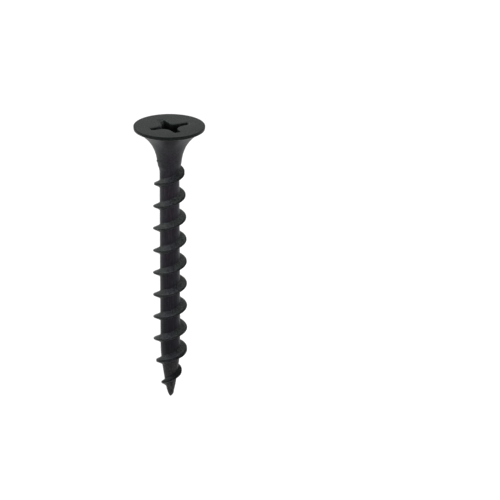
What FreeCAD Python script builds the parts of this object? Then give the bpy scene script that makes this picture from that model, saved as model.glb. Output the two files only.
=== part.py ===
import FreeCAD, Part
import math
import os

# Bugle-head screw with a coarse single-start right-hand thread, a cross
# recess and a sharp self-piercing point.  Millimetres.
# Frame: origin at the centre of the head's flat top face, +Z out of the head
# along the screw's axis, so the point is at Z = -OVERALL_LENGTH.
V = FreeCAD.Vector

# ---------------------------------------------------------------- dimensions
OVERALL_LENGTH = 32.0        # top of head to tip (nominal 1 1/4 in, 32 mm)

# head
HEAD_R = 3.90                # flat top face plus its edge radius
RIM_EDGE = 0.07              # edge radius at the top of the rim
RIM_HEIGHT = 0.36            # height of the thin rim
NECK_Z = -4.00               # plane where the plain neck ends
# underside of the bugle head: (z, radius), from the rim down to the neck
BUGLE = [(-0.36, 3.885), (-0.47, 3.62), (-0.62, 3.35), (-0.86, 3.04),
         (-1.20, 2.66), (-1.70, 2.225), (-2.30, 1.845), (-3.10, 1.524),
         (-3.60, 1.403), (-4.00, 1.337)]

# cross recess (size 2): four tapering wings, with rounded metal corners
# between them, closing with depth
RECESS_ROT = 24.5            # degrees about +Z from +X to the first wing
RECESS_AT = (0.02, -0.12)    # the punched recess sits slightly off the axis
RECESS_WING_TOP = (2.47, 2.42, 2.27, 2.20)  # reach of each wing at the top face
RECESS_WING_BOT = 1.20       # reach of a wing at the wing's foot
RECESS_DEPTH = 2.45          # depth to the foot of the wings
RECESS_TIP_DEPTH = 2.85      # depth of the conical bottom
RECESS_FLARE = 0.10          # plan taper of each wing (half-width per length)
RECESS_C_TOP = 0.575         # plan offset of the flanks at the top face
RECESS_C_BOT = 0.37          # the same at the foot of the wings
RECESS_R_TOP = 0.95          # corner radius between wings at the top face
RECESS_R_BOT = 0.30          # the same at the foot of the wings

# round core
CORE_R = 1.068               # root radius of the thread
TAPER = [(-4.00, 1.337), (-4.50, 1.258), (-5.00, 1.105), (-5.35, CORE_R)]
POINT_Z = -26.25             # plane where the core starts to taper
POINT = [(-26.25, CORE_R), (-27.60, 0.955), (-29.40, 0.714), (-30.60, 0.515),
         (-31.40, 0.332), (-31.80, 0.170)]
TIP_R = 0.030                # the tip is blunt by this radius
TIP_SHOULDER = (-31.93, 0.095)

# thread
PITCH = 2.620                # single start, right hand (9.7 turns per inch)
THREAD_TOP_Z = -4.073        # height of the crest where the ridge begins
FLANK = 0.457                # half-width gained per unit of height (49 deg)
CREST_HALF = 0.045           # half-width of the flat on the crest
THREAD_START = 0.02          # first and last position, in turns
THREAD_END = 10.40
# crest radius against turns from the start
CREST = [(-0.10, 1.330), (0.00, 1.350), (0.20, 1.450), (0.50, 1.640),
         (0.75, 1.703), (1.00, 1.715), (1.50, 1.748), (2.00, 1.785),
         (4.00, 1.845), (6.00, 1.868), (8.00, 1.870), (8.50, 1.845),
         (9.00, 1.585), (9.50, 1.258), (10.00, 1.012), (10.40, 0.500),
         (10.60, 0.300)]
SAMPLES_PER_TURN = 24


# ------------------------------------------------------------------ helpers
def monotone(points):
    """Shape-keeping cubic through (x, y) points; returns a function."""
    pts = sorted(points)
    xs = [p[0] for p in pts]
    ys = [p[1] for p in pts]
    n = len(xs)
    h = [xs[i + 1] - xs[i] for i in range(n - 1)]
    d = [(ys[i + 1] - ys[i]) / h[i] for i in range(n - 1)]
    m = [0.0] * n
    m[0], m[-1] = d[0], d[-1]
    for i in range(1, n - 1):
        if d[i - 1] * d[i] <= 0:
            m[i] = 0.0
        else:
            w1 = 2 * h[i] + h[i - 1]
            w2 = h[i] + 2 * h[i - 1]
            m[i] = (w1 + w2) / (w1 / d[i - 1] + w2 / d[i])

    def f(x):
        if x <= xs[0]:
            return ys[0]
        if x >= xs[-1]:
            return ys[-1]
        i = 0
        while x > xs[i + 1]:
            i += 1
        t = (x - xs[i]) / h[i]
        a = (1 + 2 * t) * (1 - t) ** 2
        b = t * (1 - t) ** 2
        c = t * t * (3 - 2 * t)
        e = t * t * (t - 1)
        return a * ys[i] + b * h[i] * m[i] + c * ys[i + 1] + e * h[i] * m[i + 1]
    return f


def line(a, b):
    return Part.makeLine(V(a[0], 0, a[1]), V(b[0], 0, b[1]))


def spline(zr):
    """Smooth profile edge through (z, r) points, in the XZ plane."""
    c = Part.BSplineCurve()
    c.interpolate([V(r, 0, z) for z, r in zr])
    return c.toShape()


def revolve(edges):
    wire = Part.Wire(edges)
    return Part.Face(wire).revolve(V(0, 0, 0), V(0, 0, 1), 360)


def as_solid(shape):
    s = shape.Solids[0] if shape.Solids else Part.Solid(shape.Shells[0])
    if s.Volume < 0:
        s.reverse()
    return s


# --------------------------------------------------------------------- head
def make_head():
    r, e = HEAD_R, RIM_EDGE
    k = e * (1 - math.sqrt(0.5))
    edges = [
        line((0, 0), (r - e, 0)),
        Part.Arc(V(r - e, 0, 0), V(r - k, 0, -k), V(r, 0, -e)).toShape(),
        line((r, -e), (BUGLE[0][1], -RIM_HEIGHT)),
        spline(BUGLE),
        line((BUGLE[-1][1], NECK_Z), (0, NECK_Z)),
        line((0, NECK_Z), (0, 0)),
    ]
    body = as_solid(revolve(edges))

    # The recess cutter: a four-winged plug with ruled flanks, extended a
    # little above the face, with a blunt point at its foot.
    def section(g, z):
        """Outline at a share g of the way from the foot up to the face."""
        c = RECESS_C_BOT + (RECESS_C_TOP - RECESS_C_BOT) * g
        radius = RECESS_R_BOT + (RECESS_R_TOP - RECESS_R_BOT) * g
        inner = c / (1 + RECESS_FLARE)
        pts = []
        for q in range(4):
            reach = RECESS_WING_BOT + (RECESS_WING_TOP[q] - RECESS_WING_BOT) * g
            half = c - RECESS_FLARE * reach
            nxt = RECESS_WING_BOT + (RECESS_WING_TOP[(q + 1) % 4] - RECESS_WING_BOT) * g
            plan = [(reach, -half), (reach, half)]
            # the rounded corner between this wing and the next
            ax, ay = reach - inner, half - inner
            bx, by = c - RECESS_FLARE * nxt - inner, nxt - inner
            la, lb = math.hypot(ax, ay), math.hypot(bx, by)
            ax, ay, bx, by = ax / la, ay / la, bx / lb, by / lb
            h = 0.5 * math.acos(ax * bx + ay * by)
            t = min(radius / math.tan(h), 0.46 * min(la, lb))
            rr = t * math.tan(h)
            mx, my = ax + bx, ay + by
            ml = math.hypot(mx, my)
            ox, oy = inner + mx / ml * rr / math.sin(h), inner + my / ml * rr / math.sin(h)
            ux, uy = inner + ax * t - ox, inner + ay * t - oy
            wx, wy = inner + bx * t - ox, inner + by * t - oy
            a0 = math.atan2(uy, ux)
            turn = math.atan2(ux * wy - uy * wx, ux * wx + uy * wy)
            for i in range(6):
                a = a0 + turn * i / 5
                plan.append((ox + rr * math.cos(a), oy + rr * math.sin(a)))
            ca, sa = math.cos(q * math.pi / 2), math.sin(q * math.pi / 2)
            pts += [V(x * ca - y * sa, x * sa + y * ca, z) for x, y in plan]
        return pts

    up = 0.05
    top = section(1.0 + up / RECESS_DEPTH, up)
    bot = section(0.0, -RECESS_DEPTH)
    cutter = Part.makeLoft([Part.makePolygon(top + [top[0]]), Part.makePolygon(bot + [bot[0]])],
                           True, True)
    tip = V(0, 0, -RECESS_TIP_DEPTH)
    n = len(bot)
    faces = [Part.Face(Part.makePolygon(bot + [bot[0]]))]
    for i in range(n):
        j = (i + 1) % n
        faces.append(Part.Face(Part.makePolygon([bot[i], bot[j], tip, bot[i]])))
    foot = as_solid(Part.Solid(Part.makeShell(faces)))
    for tool in (cutter, foot):
        tool.rotate(V(0, 0, 0), V(0, 0, 1), RECESS_ROT)
        tool.translate(V(RECESS_AT[0], RECESS_AT[1], 0))
    return as_solid(body.cut(as_solid(cutter)).cut(foot))


# --------------------------------------------------------------------- core
def make_shank():
    edges = [
        line((0, NECK_Z), (TAPER[0][1], NECK_Z)),
        spline(TAPER),
        line((CORE_R, TAPER[-1][0]), (CORE_R, POINT_Z)),
        line((CORE_R, POINT_Z), (0, POINT_Z)),
        line((0, POINT_Z), (0, NECK_Z)),
    ]
    return as_solid(revolve(edges))


def make_point():
    end = -OVERALL_LENGTH
    sz, sr = TIP_SHOULDER
    edges = [line((0, POINT_Z), (CORE_R, POINT_Z)), spline(POINT)]
    edges.append(line((POINT[-1][1], POINT[-1][0]), (sr, sz)))
    edges.append(line((sr, sz), (TIP_R, end)))
    edges.append(line((TIP_R, end), (0, end)))
    edges.append(line((0, end), (0, POINT_Z)))
    return as_solid(revolve(edges))


# ------------------------------------------------------------------- thread
def spline_reader(zr):
    """Radius at height z on the same spline that makes the core's profile."""
    c = Part.BSplineCurve()
    c.interpolate([V(r, 0, z) for z, r in zr])
    z0, z1 = zr[0][0], zr[-1][0]

    def f(z):
        lo, hi = c.FirstParameter, c.LastParameter
        for _ in range(50):
            mid = 0.5 * (lo + hi)
            if (c.value(mid).z - z) * (z1 - z0) > 0:
                hi = mid
            else:
                lo = mid
        return c.value(0.5 * (lo + hi)).x
    return f


taper_r = spline_reader(TAPER)
point_r = spline_reader(POINT)


def core_radius(z):
    if z >= TAPER[-1][0]:
        return taper_r(min(z, TAPER[0][0]))
    if z >= POINT_Z:
        return CORE_R
    if z >= POINT[-1][0]:
        return point_r(z)
    return POINT[-1][1]


crest_radius = monotone(CREST)


def foot(z_crest, r_crest, side):
    """Where a flank meets the core: distance from the crest along Z."""
    lo, hi = 0.0, 1.5
    for _ in range(50):
        mid = 0.5 * (lo + hi)
        r = r_crest - (mid - CREST_HALF) / FLANK if mid > CREST_HALF else r_crest
        if r > core_radius(z_crest + side * mid):
            lo = mid
        else:
            hi = mid
    return 0.5 * (lo + hi)


def ridge_points(t):
    """The four corners of the ridge at t turns from its start."""
    a = math.pi - 2 * math.pi * t
    z = THREAD_TOP_Z - PITCH * t
    rc = crest_radius(t)
    up, dn = foot(z, rc, 1), foot(z, rc, -1)
    wu, wd = min(CREST_HALF, 0.6 * up), min(CREST_HALF, 0.6 * dn)
    ru, rd = core_radius(z + up), core_radius(z - dn)
    c, s = math.cos(a), math.sin(a)
    return [V(ru * c, ru * s, z + up), V(rc * c, rc * s, z + wu),
            V(rc * c, rc * s, z - wd), V(rd * c, rd * s, z - dn)]


def make_thread():
    n = int(round((THREAD_END - THREAD_START) * SAMPLES_PER_TURN))
    ts = [THREAD_START + (THREAD_END - THREAD_START) * i / n for i in range(n + 1)]
    rows = [ridge_points(t) for t in ts]
    curves = []
    for k in range(4):
        c = Part.BSplineCurve()
        c.interpolate(Points=[r[k] for r in rows], Parameters=ts)
        curves.append(c)
    # one span of the ridge per whole turn, all sharing their edges
    cuts = [THREAD_START] + [float(i) for i in range(1, int(THREAD_END) + 1)] + [THREAD_END]
    faces = []
    for a, b in zip(cuts[:-1], cuts[1:]):
        e = [c.toShape(a, b) for c in curves]
        for k in range(4):
            faces.append(Part.makeRuledSurface(e[k], e[(k + 1) % 4]))
    for t in (THREAD_START, THREAD_END):
        p = [c.value(t) for c in curves]
        # end caps as two triangles, because the four corners aren't coplanar
        faces.append(Part.Face(Part.makePolygon([p[0], p[1], p[2], p[0]])))
        faces.append(Part.Face(Part.makePolygon([p[0], p[2], p[3], p[0]])))
    flat = []
    for f in faces:
        flat.extend(f.Faces)
    shell = Part.makeShell(flat)
    shell.sewShape(1e-4)
    return as_solid(Part.Solid(shell if shell.ShapeType == "Shell" else shell.Shells[0]))


# -------------------------------------------------------------------- write
PARTS = {
    "head": make_head(),
    "shank": make_shank(),
    "thread": make_thread(),
    "point": make_point(),
}

os.makedirs("parts", exist_ok=True)
for name in PARTS:
    shape = PARTS[name]
    b = shape.BoundBox
    print("%-7s valid %s closed %s volume %.4f  z %.3f..%.3f  r %.3f" % (
        name, shape.isValid(), shape.isClosed(), shape.Volume, b.ZMin, b.ZMax, b.XMax))
    shape.exportStep("parts/%s.step" % name)
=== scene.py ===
import bpy
import math
import numpy as np
from mathutils import Matrix, Vector


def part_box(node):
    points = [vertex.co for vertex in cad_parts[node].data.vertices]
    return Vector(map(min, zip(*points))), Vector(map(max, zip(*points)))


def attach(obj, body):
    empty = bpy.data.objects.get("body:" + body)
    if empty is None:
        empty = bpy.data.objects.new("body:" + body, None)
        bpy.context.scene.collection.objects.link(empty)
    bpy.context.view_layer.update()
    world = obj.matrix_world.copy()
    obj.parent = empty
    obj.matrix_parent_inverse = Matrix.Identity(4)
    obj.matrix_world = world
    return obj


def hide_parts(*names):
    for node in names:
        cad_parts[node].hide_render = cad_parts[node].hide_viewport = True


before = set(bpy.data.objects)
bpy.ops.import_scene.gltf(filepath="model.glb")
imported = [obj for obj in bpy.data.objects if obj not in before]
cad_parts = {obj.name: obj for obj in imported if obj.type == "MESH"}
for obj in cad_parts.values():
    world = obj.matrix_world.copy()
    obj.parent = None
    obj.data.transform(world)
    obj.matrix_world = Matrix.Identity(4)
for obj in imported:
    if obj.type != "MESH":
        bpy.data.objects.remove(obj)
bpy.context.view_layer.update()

# ------------------------------------------------------------------ sizes, mm
MM = 1000.0
HEAD_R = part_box("head")[1].x * MM + 0.02
NECK_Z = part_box("head")[0].z * MM
POINT_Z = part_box("point")[1].z * MM
END_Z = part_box("point")[0].z * MM

RIM_EDGE = 0.07
BUGLE = [(-0.36, 3.895), (-0.47, 3.65), (-0.62, 3.39), (-0.86, 3.08),
         (-1.20, 2.70), (-1.70, 2.255), (-2.30, 1.870), (-3.10, 1.544),
         (-3.60, 1.423), (-4.00, 1.357)]
CORE = [(-3.60, 1.423), (-4.00, 1.357), (-4.50, 1.278), (-5.00, 1.127),
        (-5.35, 1.090), (-6.20, 1.090), (-13.0, 1.096), (-20.0, 1.105),
        (-25.6, 1.090), (-26.25, 1.080), (-27.60, 0.980), (-29.40, 0.734),
        (-30.60, 0.546), (-31.40, 0.362), (-31.62, 0.290), (-31.80, 0.215),
        (-31.90, 0.164), (-31.96, 0.124), (-32.00, 0.086), (-32.03, 0.0)]

RECESS_ROT = math.radians(24.5)
RECESS_AT = np.array([0.02, -0.12])
WING_TOP, WING_BOT = (2.47, 2.42, 2.27, 2.20), 1.20
RECESS_DEPTH, RECESS_TIP = 2.45, 2.85
FLARE = 0.10
C_TOP, C_BOT = 0.575, 0.37

PITCH = 2.620
THREAD_TOP_Z = -4.073
SLOPE = 1 / 0.457
FULL_R = 1.870
CREST = [(-0.16, 1.20), (-0.10, 1.290), (0.00, 1.365), (0.20, 1.485),
         (0.50, 1.665), (0.75, 1.712), (1.00, 1.722), (1.50, 1.755),
         (2.00, 1.800), (4.00, 1.855), (6.00, 1.870), (7.50, 1.868),
         (8.50, 1.852), (9.00, 1.590), (9.50, 1.265), (10.00, 1.020),
         (10.40, 0.430), (10.60, 0.150)]
TAU0, TAU1 = -0.13, 10.52
# how much the rolled crest is blunter than the drawn one, on each side
BLUNT = [(-0.13, 0.020), (1.00, 0.045), (2.00, 0.045), (3.00, 0.030), (4.00, 0.020),
         (5.00, 0.032), (6.50, 0.035), (7.50, 0.022), (8.00, 0.035), (8.45, 0.120),
         (9.00, 0.100), (9.50, 0.075), (10.00, 0.090), (10.60, 0.010)]
# small runs of the rolled crest above or below its even helix
DRIFT = [(-0.13, 0.0), (0.60, 0.0), (1.00, -0.035), (2.00, -0.025), (2.60, 0.0), (8.00, 0.0),
         (8.40, 0.030), (8.75, 0.0), (9.00, -0.035), (9.25, -0.020), (9.50, -0.020), (10.00, -0.080), (10.60, -0.050)]


def monotone(points):
    """Shape-keeping cubic through (x, y) points, for arrays."""
    p = np.array(sorted(points), float)
    xs, ys = p[:, 0], p[:, 1]
    h = np.diff(xs)
    d = np.diff(ys) / h
    m = np.zeros(len(xs))
    m[0], m[-1] = d[0], d[-1]
    for i in range(1, len(xs) - 1):
        if d[i - 1] * d[i] > 0:
            w1, w2 = 2 * h[i] + h[i - 1], h[i] + 2 * h[i - 1]
            m[i] = (w1 + w2) / (w1 / d[i - 1] + w2 / d[i])

    def f(x):
        x = np.clip(np.asarray(x, float), xs[0], xs[-1])
        i = np.clip(np.searchsorted(xs, x, side="right") - 1, 0, len(h) - 1)
        t = (x - xs[i]) / h[i]
        return ((1 + 2 * t) * (1 - t) ** 2 * ys[i] + t * (1 - t) ** 2 * h[i] * m[i]
                + t * t * (3 - 2 * t) * ys[i + 1] + t * t * (t - 1) * h[i] * m[i + 1])
    return f


bugle_r = monotone(BUGLE)
core_r = monotone(CORE)
crest_r = monotone(CREST)
blunt = monotone(BLUNT)
drift = monotone(DRIFT)


def waves(x, seed, freqs, amp):
    """Smooth seeded variation: a few sine waves of unrelated lengths."""
    rng = np.random.default_rng(seed)
    out = np.zeros_like(np.asarray(x, float))
    for f in freqs:
        out += rng.uniform(0.5, 1.0) * np.sin(2 * np.pi * f * x + rng.uniform(0, 2 * np.pi))
    return amp * out / len(freqs)


# ------------------------------------------------------------- mesh building
def add_piece(name, verts, faces, marks=None):
    """A smooth closed mesh from points in millimetres; marks are values per point."""
    me = bpy.data.meshes.new(name)
    me.from_pydata([tuple(v) for v in (np.asarray(verts) / MM)], [], faces)
    me.validate()
    me.update()
    for key, values in (marks or {}).items():
        layer = me.attributes.new(key, "FLOAT", "POINT")
        layer.data.foreach_set("value", np.asarray(values, np.float32))
    ob = bpy.data.objects.new(name, me)
    bpy.context.scene.collection.objects.link(ob)
    # outward faces: the signed volume of a closed mesh is positive
    co = np.array([v.co for v in me.vertices])
    vol = 0.0
    for p in me.polygons:
        ids = list(p.vertices)
        for k in range(1, len(ids) - 1):
            vol += np.dot(co[ids[0]], np.cross(co[ids[k]], co[ids[k + 1]]))
    if vol < 0:
        me.flip_normals()
    me.polygons.foreach_set("use_smooth", [True] * len(me.polygons))
    me.update()
    return ob


def tube(rings, first=None, last=None):
    """Verts and quads of stacked closed rings, with a fan to a point at each end."""
    rings = [np.asarray(r, float) for r in rings]
    n = len(rings[0])
    verts = np.concatenate(rings)
    faces = []
    for i in range(len(rings) - 1):
        a, b = i * n, (i + 1) * n
        for j in range(n):
            k = (j + 1) % n
            faces.append((a + j, a + k, b + k, b + j))
    extra = []
    if first is not None:
        c = len(verts) + len(extra)
        extra.append(first)
        faces += [(c, (j + 1) % n, j) for j in range(n)]
    if last is not None:
        c = len(verts) + len(extra)
        extra.append(last)
        b = (len(rings) - 1) * n
        faces += [(c, b + j, b + (j + 1) % n) for j in range(n)]
    if extra:
        verts = np.concatenate([verts, np.array(extra, float)])
    return verts, faces


def circle(r, z, ang):
    r = np.broadcast_to(r, ang.shape)
    z = np.broadcast_to(z, ang.shape)
    return np.stack([r * np.cos(ang), r * np.sin(ang), z], 1)


# ---------------------------------------------------------------------- head
def recess_ring(c, reaches, r_in, r_end):
    """The recess's outline in plan: four tapering wings with rounded corners."""
    inner = c / (1 + FLARE)
    corners = []
    for q in range(4):
        reach = reaches[q]
        half = c - FLARE * reach
        ca, sa = math.cos(q * math.pi / 2), math.sin(q * math.pi / 2)
        for (x, y), r, m, seg in (((reach, -half), r_end, 8, 3),
                                  ((reach, half), r_end, 8, 11),
                                  ((inner, inner), r_in, 23, 11)):
            corners.append((np.array([x * ca - y * sa, x * sa + y * ca]), r, m, seg))
    n = len(corners)
    arcs = []
    for i in range(n):
        p, r, m, _ = corners[i]
        a = corners[i - 1][0] - p
        b = corners[(i + 1) % n][0] - p
        la, lb = np.linalg.norm(a), np.linalg.norm(b)
        a, b = a / la, b / lb
        half_ang = 0.5 * math.acos(max(-1, min(1, float(a @ b))))
        t = min(r / math.tan(half_ang), 0.46 * min(la, lb))
        r = t * math.tan(half_ang)
        mid = a + b
        mid /= np.linalg.norm(mid)
        centre = p + mid * r / math.sin(half_ang)
        v0, v1 = p + a * t - centre, p + b * t - centre
        a0 = math.atan2(v0[1], v0[0])
        turn = math.atan2(v0[0] * v1[1] - v0[1] * v1[0], v0 @ v1)
        arcs.append([centre + r * np.array([math.cos(a0 + turn * s), math.sin(a0 + turn * s)])
                     for s in np.linspace(0, 1, m)])
    pts = []
    for i in range(n):
        pts += arcs[i]
        seg = corners[i][3]
        p, q = arcs[i][-1], arcs[(i + 1) % n][0]
        pts += [p + (q - p) * (k + 1) / (seg + 1) for k in range(seg)]
    pts = np.array(pts)
    c0, s0 = math.cos(RECESS_ROT), math.sin(RECESS_ROT)
    return pts @ np.array([[c0, s0], [-s0, c0]]) + RECESS_AT


def recess_level(depth, off=0.0):
    """Outline at a depth below the face, grown outwards by off."""
    g = min(max(depth / RECESS_DEPTH, 0), 1)
    c = C_TOP + (C_BOT - C_TOP) * g + off * math.sqrt(1 + FLARE ** 2)
    reaches = [w + (WING_BOT - w) * g + off for w in WING_TOP]
    r_in = 0.95 + (0.30 - 0.95) * g ** 0.7 - off
    return recess_ring(c, reaches, r_in, 0.13 + (0.10 - 0.13) * g + off)


def build_head():
    def at(xy, z):
        z = np.broadcast_to(z, (len(xy),))
        return np.column_stack([xy, z])

    rings = []
    foot = recess_level(RECESS_DEPTH)
    for s in (0.88, 0.7, 0.5, 0.3, 0.12, 0.03):
        rings.append(at(foot * (1 - s) + RECESS_AT * s, -RECESS_DEPTH - (RECESS_TIP - RECESS_DEPTH) * s))

    def face(p, dist):
        """The top face draws in slightly beside the punched recess."""
        z = -0.022 * np.exp(-dist / 0.22)
        z = z + 0.003 * np.sin(3.1 * p[:, 0] + 0.7) * np.sin(2.3 * p[:, 1] + 1.9) - 0.003
        return np.minimum(z, 0)

    edge = 0.10
    lip = recess_level(0.0, edge)
    n = len(lip)
    lip_z = face(lip, np.zeros(n))
    for d in [RECESS_DEPTH, 2.43] + list(np.linspace(2.33, 0.33, 15)) + [0.22, 0.15]:
        rings.append(at(recess_level(d), -d))
    for a in np.radians([0, 15, 30, 45, 60, 75]):
        off = edge * (1 - math.cos(a))
        rings.append(at(recess_level(edge * (1 - math.sin(a)), off), lip_z - edge * (1 - math.sin(a))))
    pocket = len(rings)
    ang = np.unwrap(np.arctan2(lip[:, 1] - RECESS_AT[1], lip[:, 0] - RECESS_AT[0]))
    start = np.mean(ang - 2 * np.pi * np.arange(n) / n)
    ang = start + 2 * np.pi * np.arange(n) / n
    flat_r = HEAD_R - RIM_EDGE
    rim = np.stack([flat_r * np.cos(ang), flat_r * np.sin(ang)], 1)
    for s in [0, 0.010, 0.025, 0.05, 0.08, 0.12, 0.17, 0.24, 0.32, 0.42, 0.53, 0.64, 0.75, 0.85, 0.93, 0.98]:
        p = lip + (rim - lip) * s
        rings.append(at(p, face(p, np.linalg.norm(p - lip, axis=1))))
    # rim: edge radius, thin wall, lower edge, then the bugle's hollow curve
    wob = waves(ang / (2 * np.pi), 3, [1, 2, 3, 5, 7], 0.006)
    for a in np.radians([0, 20, 40, 60, 80, 90]):
        rings.append(circle(HEAD_R - RIM_EDGE + RIM_EDGE * math.sin(a) + wob * math.sin(a) - 0.006 * math.sin(a),
                            -RIM_EDGE + RIM_EDGE * math.cos(a), ang))
    for z, r in ((-0.13, 3.897), (-0.21, 3.894), (-0.28, 3.891), (-0.315, 3.887), (-0.342, 3.877),
                 (-0.366, 3.854), (-0.386, 3.819), (-0.405, 3.778)):
        rings.append(circle(r + 0.014 + wob, z, ang))
    zs = np.concatenate([np.linspace(-0.43, -1.4, 24), np.linspace(-1.47, -3.95, 34), [-3.985, NECK_Z]])
    for z in zs:
        fade = math.exp((z + 0.43) / 0.4)
        r = bugle_r(z) + (wob - 0.004) * fade
        rings.append(circle(r, z, ang))
    verts, faces = tube(rings, (RECESS_AT[0], RECESS_AT[1], -RECESS_TIP), (0, 0, NECK_Z))
    # how far down the recess each point is, in millimetres; 0 outside it
    deep = [float(-r[:, 2].mean()) if i < pocket else 0.0 for i, r in enumerate(rings)]
    depth = np.concatenate([np.repeat(deep, n), [RECESS_TIP, 0.0]])
    return add_piece("bugle_head", verts, faces, {"recess_depth": depth})


# ----------------------------------------------------------------- round core
def core_rings(zs, n):
    ang = np.linspace(0, 2 * np.pi, n, endpoint=False)
    rings = []
    for z in zs:
        r = core_r(z) * np.ones(n)
        # faint flats left along the rolled core
        if z < -5.2:
            k = min(1.0, (-5.2 - z) / 1.0) * min(1.0, max(0.0, (z + 31.5) / 3.0))
            r = r + k * waves(ang / (2 * np.pi) + 0.004 * z, 11, [3, 5, 8, 13, 21, 34], 0.004)
        # small nick where the rolling dies ended on the front of the neck
        d = ((ang - math.radians(262) + 0.30 * (z + 4.42)) / 0.20) ** 2 + ((z + 4.42 - 0.25 * (ang - 4.57)) / 0.055) ** 2
        r = r - 0.035 * np.exp(-d)
        rings.append(circle(r, z, ang))
    return rings


def build_shank():
    zs = np.concatenate([[NECK_Z, NECK_Z - 0.015], np.arange(-4.04, -5.5, -0.03),
                         np.arange(-5.55, POINT_Z + 0.06, -0.12), [POINT_Z + 0.015, POINT_Z]])
    verts, faces = tube(core_rings(zs, 192), (0, 0, NECK_Z), (0, 0, POINT_Z))
    return add_piece("round_core", verts, faces)


def build_point():
    zs = np.concatenate([[POINT_Z, POINT_Z - 0.015], np.arange(POINT_Z - 0.08, -31.3, -0.08),
                         np.arange(-31.34, -31.86, -0.035),
                         [-31.88, -31.91, -31.94, -31.965, -31.985, -32.0, -32.012, -32.022]])
    verts, faces = tube(core_rings(zs, 128), (0, 0, POINT_Z), (0, 0, END_Z - 0.03))
    return add_piece("sharp_point", verts, faces)


# --------------------------------------------------------------------- thread
def build_thread():
    per_turn = 120
    m = int(round((TAU1 - TAU0) * per_turn)) + 1
    taus = np.linspace(TAU0, TAU1, m)
    side = np.array([0.0, 0.025, 0.05, 0.08, 0.12, 0.17, 0.24, 0.33, 0.42, 0.51, 0.59, 0.66,
                     0.73, 0.80, 0.87, 0.93, 1.0])
    fillet = 0.20
    dense = np.linspace(0, 1.3, 521)
    loops, below = [], []
    for tau in taus:
        zc = THREAD_TOP_Z - PITCH * tau + float(drift(tau)) + waves(tau, 5, [0.37, 0.9, 1.7, 2.6], 0.012)
        rc = float(crest_r(tau)) + waves(tau, 6, [0.61, 1.3, 2.9, 5.3, 9.1, 14.7], 0.016)
        young = float(np.clip(1.15 - tau, 0, 1))
        hw = 0.75 * max(FULL_R - rc, 0) / SLOPE * min(1.0, young * 1.6) * float(np.clip(tau / 0.25, 0, 1))
        hw += float(blunt(tau))
        groove = 0.060 * min(1.0, young * 1.8) * float(np.clip((tau - 0.12) / 0.25, 0, 1))
        c = 0.080

        def profile(d):
            a = np.maximum(np.abs(d) - hw, 0)
            return rc - SLOPE * (np.sqrt(a * a + c * c) - c) - groove * np.exp(-(d / 0.075) ** 2)

        pts = []
        for sgn in (1, -1):
            h = profile(dense) - core_r(zc + sgn * dense)
            low = np.where(h < -fillet)[0]
            if len(low) == 0:
                end = dense[-1]
            elif low[0] == 0:
                end = 0.0
            else:
                i = low[0]
                t = (h[i - 1] + fillet) / (h[i - 1] - h[i])
                end = dense[i - 1] + t * (dense[i] - dense[i - 1])
            end = max(end, 0.03)
            d = sgn * end * side
            core = core_r(zc + d)
            h = profile(d) - core
            blend = np.maximum(h, 0) + np.maximum(fillet - np.abs(h), 0) ** 2 / (4 * fillet)
            r = core + blend
            sink = np.clip((side - 0.80) / 0.20, 0, 1) ** 2 * 0.006
            r = r - sink
            pts.append((zc + d, r))
        z = np.concatenate([pts[0][0][::-1], pts[1][0][1:]])
        r = np.concatenate([pts[0][1][::-1], pts[1][1][1:]])
        # small handling marks and rolling unevenness on the flanks
        mid = np.clip((r - core_r(z)) / 0.3, 0, 1)
        r = r + mid * waves(tau + 0.35 * z, 21, [7.3, 11.9, 19.1, 31.7], 0.005)
        # the underside of the ridge, just inside the core
        zb = np.array([z[-1], zc, z[0]])
        rb = np.maximum(core_r(zb) - 0.035, 0.02)
        z = np.concatenate([z, zb])
        r = np.concatenate([r, rb])
        a = math.pi - 2 * math.pi * tau
        below.append(np.clip(rc - r, 0, None))
        loops.append(np.stack([r * math.cos(a), r * math.sin(a), z], 1))
    first = loops[0].mean(0)
    last = loops[-1].mean(0)
    verts, faces = tube(loops, first, last)
    below = np.concatenate(below + [[0.5, 0.5]])
    return add_piece("rolled_thread", verts, faces, {"below_crest": below})


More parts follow.
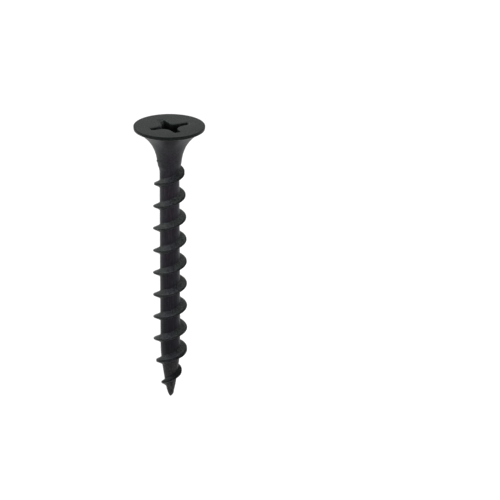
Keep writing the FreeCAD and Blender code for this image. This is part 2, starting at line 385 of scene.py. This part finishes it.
# ------------------------------------------------------------------ materials
class Tree:
    """Small helper for building a node tree."""

    def __init__(self, mat):
        mat.use_nodes = True
        self.t = mat.node_tree
        self.t.nodes.clear()

    def node(self, kind, **inputs):
        n = self.t.nodes.new(kind)
        for k, v in inputs.items():
            k = k.replace("_", " ")
            if isinstance(v, bpy.types.NodeSocket):
                self.t.links.new(v, n.inputs[k])
            else:
                n.inputs[k].default_value = v
        return n

    def link(self, a, b):
        self.t.links.new(a, b)

    def math(self, op, a, b=None, clamp=False):
        n = self.t.nodes.new("ShaderNodeMath")
        n.operation = op
        n.use_clamp = clamp
        for i, v in enumerate((a, b)):
            if v is None:
                continue
            if isinstance(v, bpy.types.NodeSocket):
                self.t.links.new(v, n.inputs[i])
            else:
                n.inputs[i].default_value = v
        return n.outputs[0]

    def mapped(self, source, scale, rotation=(0, 0, 0)):
        n = self.t.nodes.new("ShaderNodeMapping")
        n.inputs["Scale"].default_value = scale
        n.inputs["Rotation"].default_value = rotation
        self.t.links.new(source, n.inputs["Vector"])
        return n.outputs["Vector"]

    def noise(self, vector, scale, detail=3.0, rough=0.55):
        n = self.t.nodes.new("ShaderNodeTexNoise")
        n.inputs["Scale"].default_value = scale
        n.inputs["Detail"].default_value = detail
        n.inputs["Roughness"].default_value = rough
        self.t.links.new(vector, n.inputs["Vector"])
        return n.outputs["Fac"]

    def ramp(self, fac, stops):
        n = self.t.nodes.new("ShaderNodeValToRGB")
        e = n.color_ramp.elements
        e[0].position, e[0].color = stops[0][0], (*stops[0][1], 1)
        e[1].position, e[1].color = stops[-1][0], (*stops[-1][1], 1)
        for pos, col in stops[1:-1]:
            x = e.new(pos)
            x.color = (*col, 1)
        self.t.links.new(fac, n.inputs["Fac"])
        return n.outputs["Color"]

    def mix(self, fac, a, b, mode="MIX"):
        n = self.t.nodes.new("ShaderNodeMix")
        n.data_type = "RGBA"
        n.blend_type = mode
        for sock, v in ((n.inputs[0], fac), (n.inputs[6], a), (n.inputs[7], b)):
            if isinstance(v, bpy.types.NodeSocket):
                self.t.links.new(v, sock)
            elif sock.type == "RGBA":
                sock.default_value = (*v, 1)
            else:
                sock.default_value = v
        return n.outputs[2]

    def spread(self, fac, lo, hi, out_lo=0.0, out_hi=1.0):
        n = self.t.nodes.new("ShaderNodeMapRange")
        n.clamp = True
        self.t.links.new(fac, n.inputs["Value"])
        n.inputs["From Min"].default_value = lo
        n.inputs["From Max"].default_value = hi
        n.inputs["To Min"].default_value = out_lo
        n.inputs["To Max"].default_value = out_hi
        return n.outputs["Result"]

    def zoned(self, z, stops):
        """A value that changes down the screw: stops are (z, value), head end first."""
        if not isinstance(stops, list):
            return stops
        out = self.spread(z, stops[1][0], stops[0][0], stops[1][1], stops[0][1])
        for (za, va), (zb, vb) in zip(stops[1:], stops[2:]):
            if vb != va:
                out = self.math("ADD", out, self.spread(z, zb, za, vb - va, 0.0))
        return out


def phosphate(name, tints, level=1.0, streaks=0.0, crest=0.0, rough=0.50, grain=1.0, speckle=0.0,
              gloss=0.18, flank_painted_light=(1.0, 1.0), along_painted_shade=(1.0, 1.0), side_painted_shade=0.0, sides_painted_tint=0.0, recess=False,
              low_right_darkening=0.0):
    """Black phosphate on steel: dark, slightly crystalline, satin.

    flank_painted_light paints light on faces that look up and, less, on faces that
    look down, along_painted_shade paints shade that deepens from the head end to the
    point end, side_painted_shade paints shade on the front-right side,
    sides_painted_tint paints a reflection tint that shifts away from the middle, and
    low_right_darkening darkens the thread below z -28.1 mm, most on its right side.
    A list of (z, value) stops in place of a value or of the tints lets the coating
    change evenly down the screw, so that neighbouring pieces meet without a step.
    """
    mat = bpy.data.materials.new(name)
    t = Tree(mat)
    tc = t.t.nodes.new("ShaderNodeTexCoord")
    coord = tc.outputs["Object"]
    mm = t.mapped(coord, (1000, 1000, 1000))
    sep = t.node("ShaderNodeSeparateXYZ")
    t.link(mm, sep.inputs[0])
    cloud = t.noise(t.mapped(coord, (1000, 1000, 600)), 0.55, 3.0, 0.6)
    patch = t.noise(t.mapped(coord, (1000, 1000, 1000), (0.4, 0.9, 0.2)), 2.3, 4.0, 0.6)
    fine = t.noise(mm, 16.0, 4.0, 0.7)
    z = sep.outputs[2]
    # painted reflection tint: the colour patches shift with distance from the middle towards the left and right sides
    if sides_painted_tint:
        away = t.spread(t.math("ABSOLUTE", sep.outputs[0]), 0.1, 1.1, -0.5, 0.5)
        cloud = t.math("ADD", cloud, t.math("MULTIPLY", away, t.zoned(z, sides_painted_tint)))

    def colours(k):
        def patches(three):
            return t.ramp(cloud, [(0.36, three[0]), (0.50, three[1]), (0.64, three[2])])

        if not isinstance(tints, list):
            return patches(tints[k])
        out = patches(tints[0][1][k])
        for (za, a), (zb, b) in zip(tints, tints[1:]):
            if b is not a:
                out = t.mix(t.spread(z, zb, za, 1.0, 0.0), out, patches(b[k]))
        return out

    base = colours(0)
    tint = colours(1)
    # patchy depth of the coating
    shade = t.spread(patch, 0.30, 0.70, 0.80, 1.20)
    speck = t.spread(fine, 0.32, 0.68, 1 - 0.28 * grain, 1 + 0.28 * grain)
    shade = t.math("MULTIPLY", shade, speck)
    bump_in = t.math("MULTIPLY", fine, 1.0 * grain)
    if isinstance(rough, list):
        rough_out = t.math("ADD", t.spread(patch, 0.30, 0.70, -0.05, 0.06), t.zoned(z, rough))
    else:
        rough_out = t.spread(patch, 0.30, 0.70, rough - 0.05, rough + 0.06)
    if speckle:
        dots = t.noise(mm, 6.5, 2.0, 0.5)
        dots = t.math("MULTIPLY", t.spread(dots, 0.36, 0.64, -1.0, 1.0), t.zoned(z, speckle))
        shade = t.math("MULTIPLY", shade, t.math("ADD", dots, 1.0))
    if streaks:
        lines = t.noise(t.mapped(coord, (9000, 9000, 450)), 1.0, 3.0, 0.6)
        depth = t.zoned(z, streaks)
        drawn = t.math("MULTIPLY", t.spread(lines, 0.35, 0.65, -0.40, 0.40), depth)
        shade = t.math("MULTIPLY", shade, t.math("ADD", drawn, 1.0))
        bump_in = t.math("ADD", bump_in, t.math("MULTIPLY", t.math("MULTIPLY", lines, 1.6), depth))
    if crest:
        # painted shade just below the crest line, stronger on the right side
        edge = t.t.nodes.new("ShaderNodeAttribute")
        edge.attribute_name = "below_crest"
        crest_painted_shade = t.math("MULTIPLY", t.spread(edge.outputs["Fac"], 0.05, 0.15, 1.0, 0.0),
                      t.spread(sep.outputs[0], 0.2, 1.4, 0.15 * crest, crest))
        shade = t.math("MULTIPLY", shade, t.math("SUBTRACT", 1.0, crest_painted_shade))
    # painted shade: the colour darkens evenly from the head end towards the point
    if along_painted_shade != (1.0, 1.0):
        shade = t.math("MULTIPLY", shade, t.spread(z, -30.0, -6.0, along_painted_shade[1], along_painted_shade[0]))
    # painted shade: darker towards the front-right side
    if side_painted_shade:
        side = t.math("SUBTRACT", t.math("MULTIPLY", sep.outputs[0], 0.6), sep.outputs[1])
        side = t.math("MULTIPLY", t.spread(side, 0.5, 3.6, 0.0, -1.0), t.zoned(z, side_painted_shade))
        shade = t.math("MULTIPLY", shade, t.math("ADD", side, 1.0))
    if low_right_darkening:
        # darker below z -28.1 mm, most on the right side
        low = t.spread(z, -28.6, -28.1, 1.0, 0.0)
        right = t.spread(sep.outputs[0], -0.6, 0.95, 0.35, 1.0)
        shade = t.math("MULTIPLY", shade, t.math("SUBTRACT", 1.0, t.math("MULTIPLY", t.math("MULTIPLY", low, right), low_right_darkening)))
    # the gloss follows the coating's patchy tone and the painted shade so far, less strongly
    sheen = t.math("MULTIPLY", t.math("ADD", t.math("MULTIPLY", shade, 0.75), 0.25), t.zoned(z, gloss))
    # painted light: faces that look up are made much lighter, faces that look down somewhat lighter
    if flank_painted_light != (1.0, 1.0):
        nz = t.node("ShaderNodeSeparateXYZ")
        t.link(tc.outputs["Normal"], nz.inputs[0])
        up = t.spread(nz.outputs[2], 0.15, 0.80, 1.0, flank_painted_light[1])
        down = t.spread(nz.outputs[2], -0.80, -0.15, flank_painted_light[0], 1.0)
        shade = t.math("MULTIPLY", shade, t.math("MULTIPLY", up, down))
    if recess:
        # painted light on the recess walls that face +x and on the sloped wing ends that face up, a painted highlight
        # along the recess's top edge, and painted shade deeper down the recess
        deep = t.t.nodes.new("ShaderNodeAttribute")
        deep.attribute_name = "recess_depth"
        wall = t.ramp(deep.outputs["Fac"], [(0.04, (0.0,) * 3), (0.14, (1.0,) * 3), (0.45, (0.85,) * 3),
                                            (0.95, (0.0,) * 3)])
        nw = t.node("ShaderNodeSeparateXYZ")
        t.link(tc.outputs["Normal"], nw.inputs[0])
        wall_painted_light = t.math("MULTIPLY", wall, t.spread(nw.outputs[0], 0.0, 1.0, 0.0, 4.5))
        ends = t.ramp(deep.outputs["Fac"], [(0.06, (0.0,) * 3), (0.13, (1.0,) * 3), (0.50, (0.9,) * 3),
                                            (0.90, (0.0,) * 3)])
        wall_painted_light = t.math("ADD", wall_painted_light, t.math("MULTIPLY", ends, t.spread(nw.outputs[2], 0.20, 0.42, 0.0, 5.5)))
        shade = t.math("MULTIPLY", shade, t.math("ADD", wall_painted_light, 1.0))
        # painted highlight: the sheen rises along the recess's top edge
        lip = t.ramp(deep.outputs["Fac"], [(0.0, (1.0,) * 3), (0.03, (1.4,) * 3), (0.08, (1.3,) * 3),
                                           (0.14, (1.0,) * 3)])
        sheen = t.math("MULTIPLY", sheen, lip)
        # painted shade: sheen and colour darken deeper down the recess
        sheen = t.math("MULTIPLY", sheen, t.spread(deep.outputs["Fac"], 0.12, 0.6, 1.0, 0.25))
        shade = t.math("MULTIPLY", shade, t.spread(deep.outputs["Fac"], 0.12, 0.6, 1.0, 0.45))
        # painted shade on the head's rim edge: colour and sheen darker beyond a radius of 3.80 mm
        radius2 = t.math("ADD", t.math("MULTIPLY", sep.outputs[0], sep.outputs[0]),
                         t.math("MULTIPLY", sep.outputs[1], sep.outputs[1]))
        rim_painted_shade = t.spread(t.math("SQRT", radius2), 3.80, 3.87, 1.0, 0.58)
        shade = t.math("MULTIPLY", shade, rim_painted_shade)
        sheen = t.math("MULTIPLY", sheen, rim_painted_shade)
    shade = t.math("MULTIPLY", shade, t.zoned(z, level))
    grey = t.node("ShaderNodeCombineColor")
    for i in range(3):
        t.link(shade, grey.inputs[i])
    colour = t.mix(1.0, base, grey.outputs[0], "MULTIPLY")
    bump = t.node("ShaderNodeBump", Strength=0.35, Distance=0.00001, Height=bump_in)
    cells = t.t.nodes.new("ShaderNodeTexVoronoi")
    cells.inputs["Scale"].default_value = 24.0
    t.link(mm, cells.inputs["Vector"])
    bump2 = t.node("ShaderNodeBump", Strength=0.22, Distance=0.000008, Height=cells.outputs["Distance"])
    t.link(bump.outputs[0], bump2.inputs["Normal"])
    p = t.node("ShaderNodeBsdfPrincipled")
    t.link(colour, p.inputs["Base Color"])
    t.link(rough_out, p.inputs["Roughness"])
    t.link(bump2.outputs[0], p.inputs["Normal"])
    t.link(sheen, p.inputs["Specular IOR Level"])
    t.link(tint, p.inputs["Specular Tint"])
    p.inputs["Metallic"].default_value = 0.0
    out = t.t.nodes.new("ShaderNodeOutputMaterial")
    t.link(p.outputs[0], out.inputs["Surface"])
    return mat


def tones(*ratios):
    """Coating colours and matching sheen tints from colour ratios."""
    coats = tuple(tuple(0.0131 * c * 3 / sum(r) for c in r) for r in ratios)
    return coats, tuple(tuple(c / max(r) for c in r) for r in ratios)


FACE = tones((0.80, 1.0, 0.89), (0.87, 1.0, 0.96), (0.93, 0.99, 1.0))
UNDER = tones((0.92, 0.83, 1.0), (0.84, 0.89, 1.0), (0.88, 0.98, 1.0))
CORE_TONES = tones((0.90, 0.76, 1.0), (0.84, 0.80, 1.0), (0.80, 0.85, 1.0))
RIDGE = tones((0.88, 1.0, 0.95), (0.90, 0.97, 1.0), (0.82, 0.87, 1.0))
TIP = tones((0.95, 0.95, 1.0), (1.0, 0.97, 1.0), (0.96, 1.0, 0.98))

head = build_head()
shank = build_shank()
thread = build_thread()
point = build_point()

# the coating down the round core: neck, threaded part, then the point; the level and gloss stops paint shade that
# deepens down the threaded part towards the point, and the level rises again towards the tip
DOWN = dict(
    tints=[(-4.0, UNDER), (-5.2, CORE_TONES), (-25.6, CORE_TONES), (-27.2, TIP)],
    level=[(-4.0, 0.75), (-5.2, 0.66), (-6.0, 0.66), (-25.6, 0.33), (-27.2, 0.56), (-29.6, 0.62), (-30.2, 0.85)],
    streaks=[(-4.0, 0.0), (-5.2, 0.7), (-25.6, 0.7), (-27.2, 0.5), (-29.6, 0.5), (-30.2, 1.3)],
    speckle=[(-4.0, 0.20), (-5.2, 0.0), (-25.6, 0.0), (-27.2, 0.35)],
    rough=[(-4.0, 0.47), (-5.2, 0.43)],
    gloss=[(-4.0, 0.255), (-5.2, 0.275), (-6.0, 0.275), (-25.6, 0.182), (-27.2, 0.205), (-30.2, 0.225)],
    sides_painted_tint=[(-4.0, 0.16), (-5.2, 0.20), (-25.6, 0.20), (-27.2, 0.0)],
    side_painted_shade=[(-4.0, 0.22), (-5.2, 0.0)])

MATS = {
    "bugle_head": phosphate("phosphate_head", [(-0.36, FACE), (-0.75, UNDER)], level=0.75, rough=0.47,
                            gloss=0.255, speckle=[(-0.36, 0.45), (-0.75, 0.20)], side_painted_shade=0.22, sides_painted_tint=0.16,
                            recess=True),
    "round_core": phosphate("phosphate_shank", **DOWN),
    "rolled_thread": phosphate("phosphate_thread", RIDGE, level=0.92, crest=0.62, rough=0.50, grain=1.2,
                               speckle=0.42, gloss=0.21, flank_painted_light=(1.5, 2.8), along_painted_shade=(1.05, 0.72), sides_painted_tint=-0.34, low_right_darkening=0.6),
    "sharp_point": phosphate("phosphate_point", **DOWN),
}
for ob, node in ((head, "head"), (shank, "shank"), (thread, "thread"), (point, "point")):
    ob.data.materials.append(MATS[ob.name])
    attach(ob, "root")
    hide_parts(node)

# -------------------------------------------------------------- floor, lights
def floor_mesh():
    """A wide pale floor, far enough below the hanging screw to take no shadow of it."""
    level = (END_Z - 90.0) / MM
    rings, ang = [], np.linspace(0, 2 * np.pi, 96, endpoint=False)
    for r in (0.01, 0.05, 0.2, 0.6, 1.5, 4.0, 10.0):
        rings.append(np.stack([r * np.cos(ang), r * np.sin(ang), np.full(96, level)], 1))
    verts = np.concatenate(rings + [np.array([[0, 0, level]])])
    faces = []
    for i in range(len(rings) - 1):
        for j in range(96):
            k = (j + 1) % 96
            faces.append((i * 96 + j, (i + 1) * 96 + j, (i + 1) * 96 + k, i * 96 + k))
    faces += [(len(verts) - 1, j, (j + 1) % 96) for j in range(96)]
    me = bpy.data.meshes.new("floor")
    me.from_pydata([tuple(v) for v in verts], [], faces)
    me.update()
    ob = bpy.data.objects.new("floor", me)
    bpy.context.scene.collection.objects.link(ob)
    return ob


floor = floor_mesh()
fm = bpy.data.materials.new("pale_floor")
t = Tree(fm)
co = t.t.nodes.new("ShaderNodeTexCoord").outputs["Object"]
n = t.noise(co, 90.0, 3.0)
col = t.ramp(n, [(0.3, (0.88, 0.88, 0.88)), (0.7, (0.92, 0.92, 0.92))])
p = t.node("ShaderNodeBsdfPrincipled", Roughness=0.9)
t.link(col, p.inputs["Base Color"])
out = t.t.nodes.new("ShaderNodeOutputMaterial")
t.link(p.outputs[0], out.inputs["Surface"])
floor.data.materials.append(fm)

scene = bpy.context.scene
scene.view_settings.view_transform = "Standard"
scene.view_settings.look = "None"

world = bpy.data.worlds.new("studio")
scene.world = world
world.use_nodes = True
wt = world.node_tree
wt.nodes.clear()
# a white backdrop low on the horizon, and a dim room above it
gen = wt.nodes.new("ShaderNodeTexCoord")
sep = wt.nodes.new("ShaderNodeSeparateXYZ")
wt.links.new(gen.outputs["Generated"], sep.inputs[0])
band = wt.nodes.new("ShaderNodeMapRange")
wt.links.new(sep.outputs[2], band.inputs["Value"])
band.inputs["From Min"].default_value = math.sin(math.radians(4))
band.inputs["From Max"].default_value = math.sin(math.radians(12))
band.inputs["To Min"].default_value = 1.0
band.inputs["To Max"].default_value = 0.02
bg = wt.nodes.new("ShaderNodeBackground")
wt.links.new(band.outputs[0], bg.inputs["Color"])
bg.inputs["Strength"].default_value = 1.0
wo = wt.nodes.new("ShaderNodeOutputWorld")
wt.links.new(bg.outputs[0], wo.inputs[0])


def soft_light(name, az, el, spread, power):
    """A wide, distant soft light at an azimuth (0 is behind the camera, +90 to the right) and elevation."""
    a, e = math.radians(az), math.radians(el)
    d = Vector((math.sin(a) * math.cos(e), -math.cos(a) * math.cos(e), math.sin(e)))
    li = bpy.data.lights.new(name, "SUN")
    li.angle = math.radians(spread)
    li.energy = power
    ob = bpy.data.objects.new(name, li)
    scene.collection.objects.link(ob)
    ob.location = d * 0.3
    ob.rotation_euler = (-d).to_track_quat("-Z", "Y").to_euler()
    return ob


soft_light("top_front", 0, 72, 45, 1.02)
soft_light("top", 0, 90, 55, 0.60)
soft_light("back", 180, 42, 45, 0.45)
soft_light("back_left", -135, 42, 45, 0.65)
soft_light("left", -90, 42, 45, 1.25)
soft_light("right", 90, 42, 45, 0.57)
soft_light("back_right", 135, 42, 45, 0.28)

# --------------------------------------------------------------------- camera
cam = bpy.data.cameras.new("camera")
cam_ob = bpy.data.objects.new("camera", cam)
scene.collection.objects.link(cam_ob)
scene.camera = cam_ob


cam_ob.matrix_world = Matrix((
    (0.99974237, 0.00513194, -0.02210997, 0.0),
    (-0.02246345, 0.36330745, -0.93139846, -0.37216703),
    (0.00325283, 0.93165517, 0.36332913, 0.13060049),
    (0.0, 0.0, 0.0, 1.0)))
cam.sensor_fit = "HORIZONTAL"
cam.sensor_width = 36.0
cam.lens = 260.852
cam.clip_start, cam.clip_end = 0.01, 50.0
